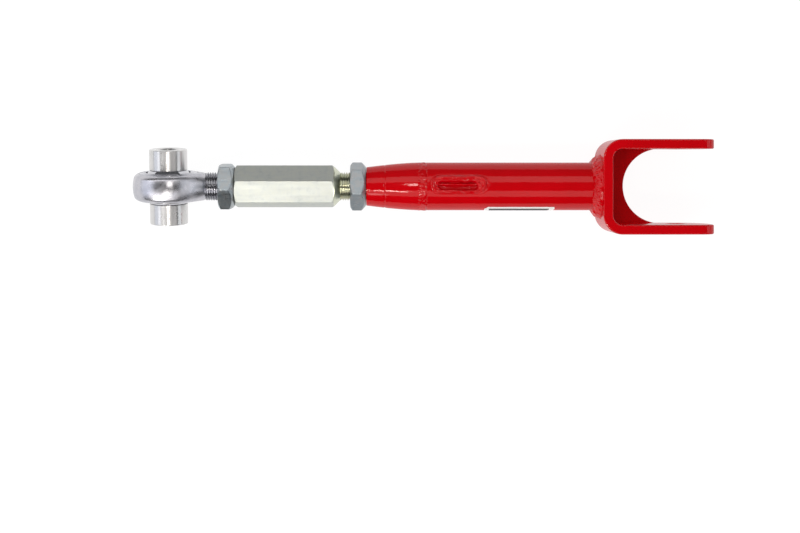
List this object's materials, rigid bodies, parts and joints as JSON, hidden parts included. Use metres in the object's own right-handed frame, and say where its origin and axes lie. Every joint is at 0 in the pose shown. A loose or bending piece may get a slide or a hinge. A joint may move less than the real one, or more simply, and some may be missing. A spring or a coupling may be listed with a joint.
{
  "type": "adjustable suspension control arm",
  "caption": "Adjustable suspension control arm: a rod end with bolt spacers, a hex adjuster locked by jam nuts, and a welded red tube ending in a U-shaped clevis.",
  "frame": {"origin": "under the middle of the arm, on the plane it lies on: the outer face of the clevis's gusset plate, level with the rim of the rod end's head", "axes": "+X along the arm from the rod end to the clevis, +Y along the clevis's bolt axis, +Z from the gusset plate towards the clevis's open side; the rod end's bolt axis stands turned 6.5 degrees from +Y towards +Z"},
  "size_m": [0.3866, 0.0628, 0.0476],
  "materials": {
    "red_powder_coat": "glossy powder coat over welds",
    "printed_decal": "white vinyl with a plain black print",
    "clear_zinc": "clear blue zinc plate",
    "yellow_zinc": "pale yellow zinc plate over drawn hex bar",
    "polished_steel": "tumble-polished forging",
    "race_polymer": "moulded self-lubricating race",
    "ring_steel": "turned",
    "ball_chrome": "hard chrome, mirror ground",
    "turned_steel": "bright turned steel"
  },
  "bodies": {
    "arm_body": {"main_tube": "red_powder_coat", "threaded_bung": "red_powder_coat", "bung_weld_bead": "red_powder_coat", "slot_plug_weld": "red_powder_coat", "clevis_bracket": "red_powder_coat", "clevis_gusset": "red_powder_coat", "clevis_weld_bead": "red_powder_coat", "gusset_weld_bead": "red_powder_coat", "tube_decal": "printed_decal"},
    "shank_nut": {"shank_jam_nut": "clear_zinc"},
    "adjuster": {"hex_adjuster": "yellow_zinc"},
    "tube_nut": {"tube_jam_nut": "clear_zinc"},
    "rod_end": {"rod_end_housing": "polished_steel", "race_lower": "race_polymer", "race_upper": "race_polymer", "preload_ring": "ring_steel"},
    "ball": {"ball": "ball_chrome"},
    "spacers": {"spacer_upper": "turned_steel", "spacer_lower": "turned_steel"}
  },
  "joints": [
    {"name": "adjuster_travel", "type": "slide", "parent": "arm_body", "child": "shank_nut", "axis": [-1, 0, 0], "range_m": [-0.00436, 0.01191]},
    {"name": "adjuster_turn", "type": "hinge", "parent": "shank_nut", "child": "adjuster", "pos_m": [-0.12475, 0, 0.0238], "axis": [1, 0, 0], "range_deg": [-990, 2700]},
    {"name": "rod_end_travel", "type": "slide", "parent": "shank_nut", "child": "rod_end", "axis": [-1, 0, 0], "range_m": [-0.00437, 0.01191]},
    {"name": "ball_tilt", "type": "hinge", "parent": "rod_end", "child": "ball", "pos_m": [-0.16945, 0, 0.0238], "axis": [1, 0, 0], "range_deg": [-10, 10]},
    {"name": "spacer_spin", "type": "hinge", "parent": "ball", "child": "spacers", "pos_m": [-0.16945, 0, 0.0238], "axis": [0, 0.9936, 0.1132], "continuous": true},
    {"name": "tube_nut_turn", "type": "hinge", "parent": "arm_body", "child": "tube_nut", "pos_m": [-0.04235, 0, 0.0238], "axis": [1, 0, 0], "range_deg": [0, 90]}
  ],
  "couplings": [
    {"joint": "adjuster_turn", "follows": "adjuster_travel", "rad_per_m": 3957.9},
    {"joint": "rod_end_travel", "follows": "adjuster_travel", "ratio": 1}
  ]
}
